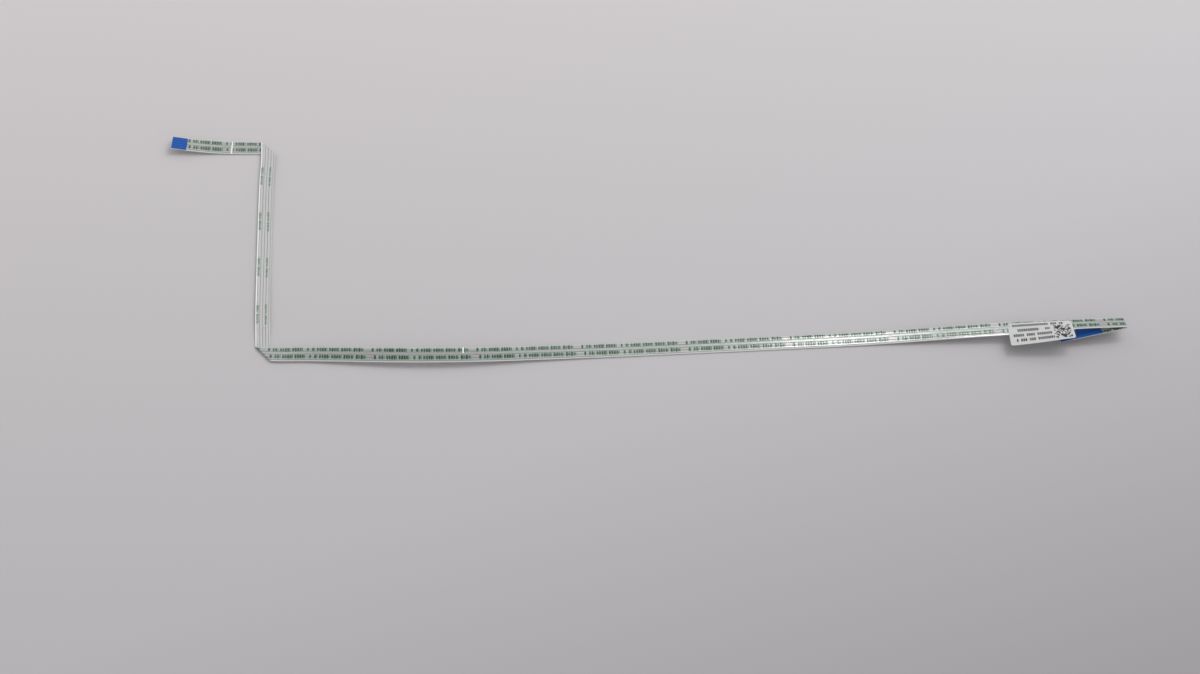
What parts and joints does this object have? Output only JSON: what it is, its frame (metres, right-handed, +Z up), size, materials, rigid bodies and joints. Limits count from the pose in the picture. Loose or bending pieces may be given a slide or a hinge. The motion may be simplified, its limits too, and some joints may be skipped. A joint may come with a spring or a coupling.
{
  "type": "flat flex cable",
  "caption": "Flat flex cable folded into a Z, its flat conductors laminated between films, with blue stiffeners behind the bare contacts and a label across one end.",
  "frame": {"origin": "middle of the cable's bounding box, on the table it lies on", "axes": "+X along the long run towards the end that is folded under, +Y from the long run towards the short arm, +Z up"},
  "size_m": [0.3322, 0.0896, 0.0074],
  "materials": {
    "printed_film": "glossy clear film with green print",
    "plain_film": "glossy clear film",
    "tinned_copper": "satin tin plating",
    "blue_stiffener": "satin blue film",
    "label_paper": "matt"
  },
  "bodies": {
    "root": {"printed_film": "printed_film", "plain_film": "plain_film", "conductor_1": "tinned_copper", "conductor_2": "tinned_copper", "conductor_3": "tinned_copper", "conductor_4": "tinned_copper", "left_stiffener": "blue_stiffener", "right_stiffener": "blue_stiffener", "label": "label_paper"}
  },
  "joints": []
}
